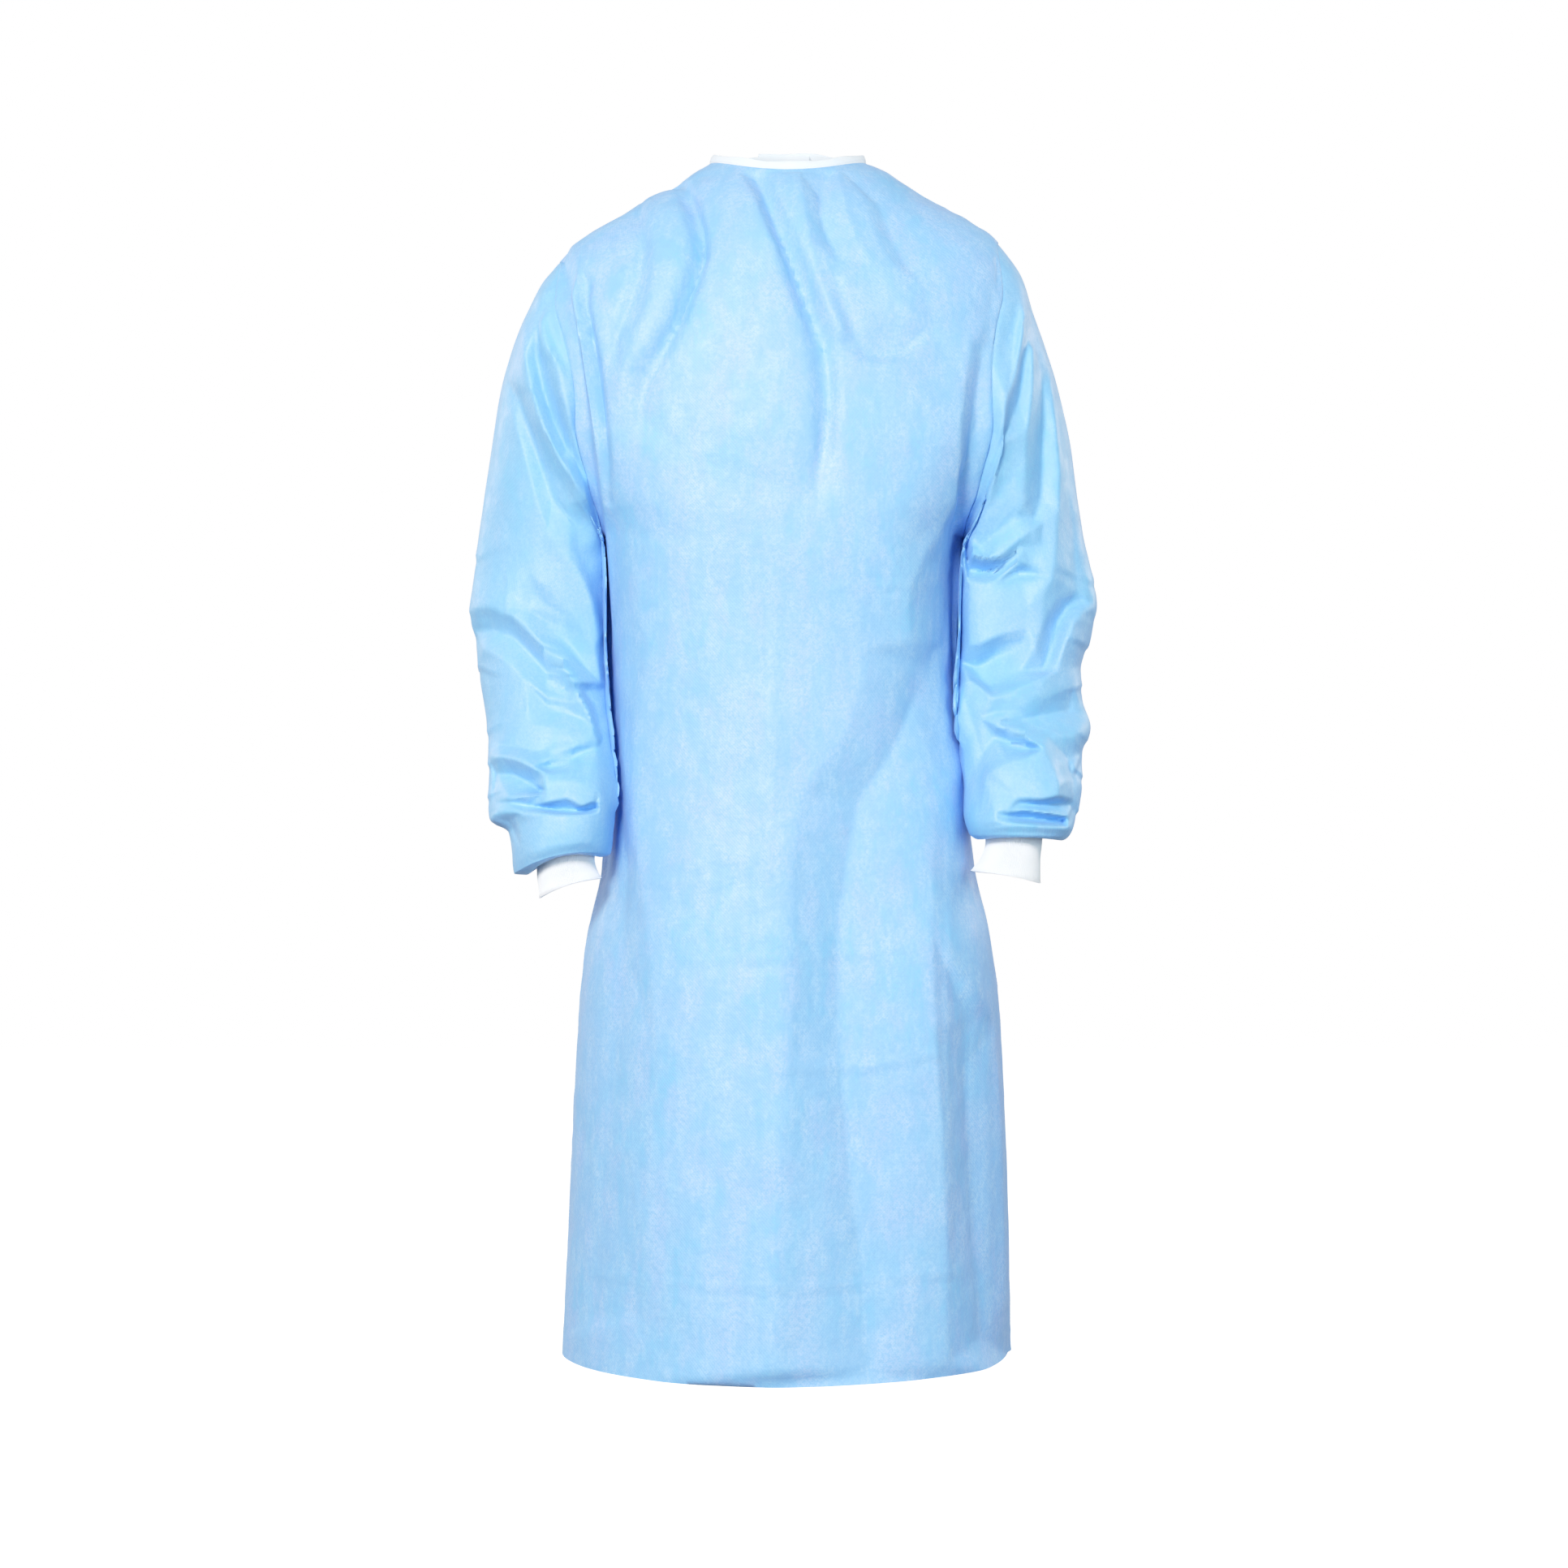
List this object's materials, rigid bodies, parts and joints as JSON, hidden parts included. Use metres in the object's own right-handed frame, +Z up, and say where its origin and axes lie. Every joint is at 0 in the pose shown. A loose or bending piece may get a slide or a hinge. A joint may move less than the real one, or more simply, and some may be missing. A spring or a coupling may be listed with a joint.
{
  "type": "surgical gown",
  "caption": "Worn long-sleeved surgical gown with a bound neck, rib-knit cuffs under bloused sleeve ends and an overlapping back tied at the waist.",
  "frame": {"origin": "middle of the neck opening, where the wearer's neck and shoulders hold the gown", "axes": "+Z up along the wearer's body; the front faces -Y; the wearer's left is +X"},
  "size_m": [0.6198, 0.3208, 1.1941],
  "materials": {
    "blue_nonwoven": "light blue embossed non-woven cloth with a soft satin sheen",
    "white_rib_knit": "white ribbed knit",
    "white_binding": "white non-woven binding tape"
  },
  "bodies": {
    "root": {"front_panel": "blue_nonwoven", "back_left": "blue_nonwoven", "back_right": "blue_nonwoven", "sleeve_left": "blue_nonwoven", "sleeve_right": "blue_nonwoven", "cuff_left": "white_rib_knit", "cuff_right": "white_rib_knit", "neck_binding": "white_binding", "neck_tab": "white_binding", "waist_tie_left": "blue_nonwoven", "waist_tie_right": "blue_nonwoven", "waist_knot": "blue_nonwoven", "tie_tail_left": "blue_nonwoven", "tie_tail_right": "blue_nonwoven"}
  },
  "joints": []
}
